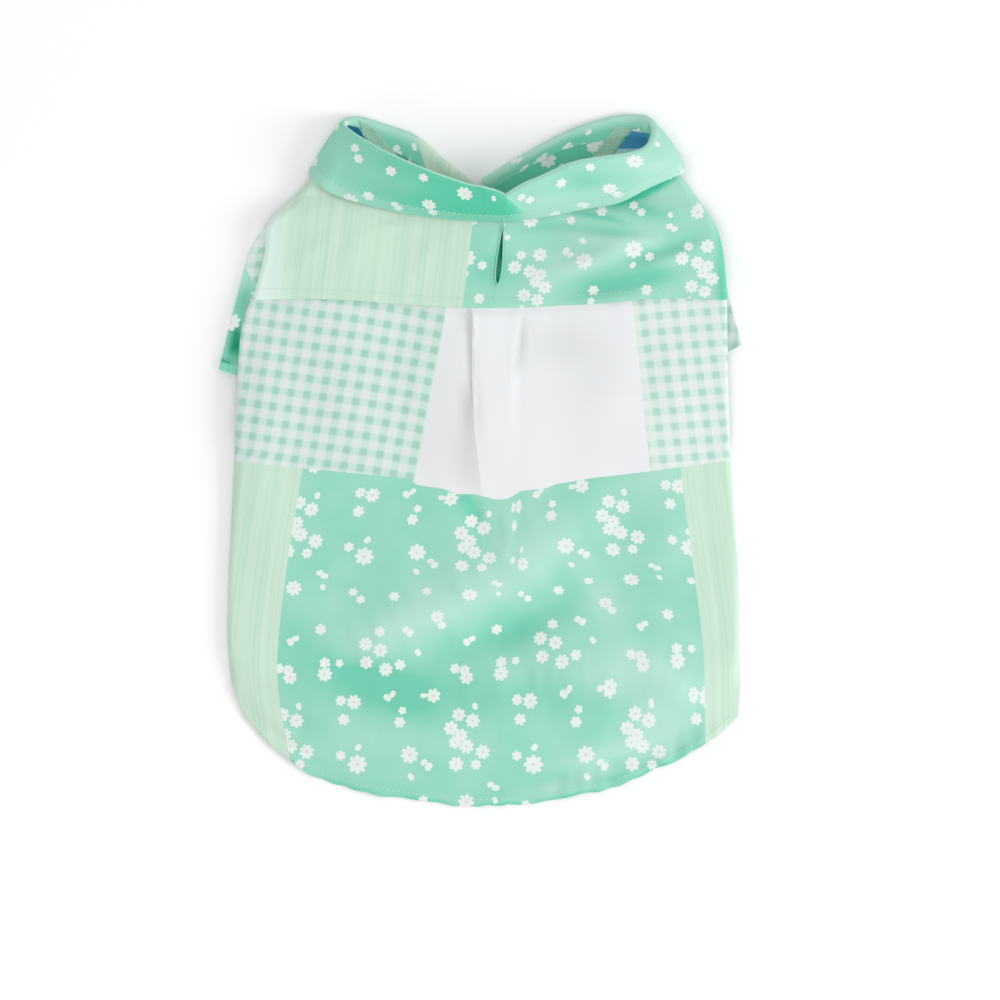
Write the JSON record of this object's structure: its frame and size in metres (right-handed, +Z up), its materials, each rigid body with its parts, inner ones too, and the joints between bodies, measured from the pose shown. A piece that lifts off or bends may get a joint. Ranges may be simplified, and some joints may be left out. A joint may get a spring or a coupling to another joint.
{
  "type": "dog shirt",
  "caption": "Short-sleeved cotton dog shirt with a folded collar, a back yoke with a leash slit, a pleated back and a rounded tail hem, laid flat with the back up.",
  "frame": {"origin": "centre of the bounding box's base, on the table", "axes": "+Z up from the table through the back of the shirt, +Y from the tail hem to the neck, +X to the right when seen from above"},
  "size_m": [0.261, 0.3459, 0.0281],
  "materials": {
    "yoke_cloth": "printed cotton, matte, striped and floral halves",
    "back_panel_cloth": "printed cotton, matte, floral, gingham and white patches",
    "front_left_cloth": "printed cotton, matte",
    "front_right_cloth": "printed cotton, matte",
    "sleeve_left_cloth": "printed cotton, matte, gingham and floral",
    "sleeve_right_cloth": "printed cotton, matte, gingham",
    "collar_cloth": "printed cotton, matte, floral",
    "neck_tape_left_cloth": "dark blue cotton tape, matte",
    "neck_tape_right_cloth": "dark blue cotton tape, matte"
  },
  "bodies": {
    "root": {"yoke": "yoke_cloth", "back_panel": "back_panel_cloth", "front_left": "front_left_cloth", "front_right": "front_right_cloth", "sleeve_left": "sleeve_left_cloth", "sleeve_right": "sleeve_right_cloth", "collar": "collar_cloth", "neck_tape_left": "neck_tape_left_cloth", "neck_tape_right": "neck_tape_right_cloth"}
  },
  "joints": []
}
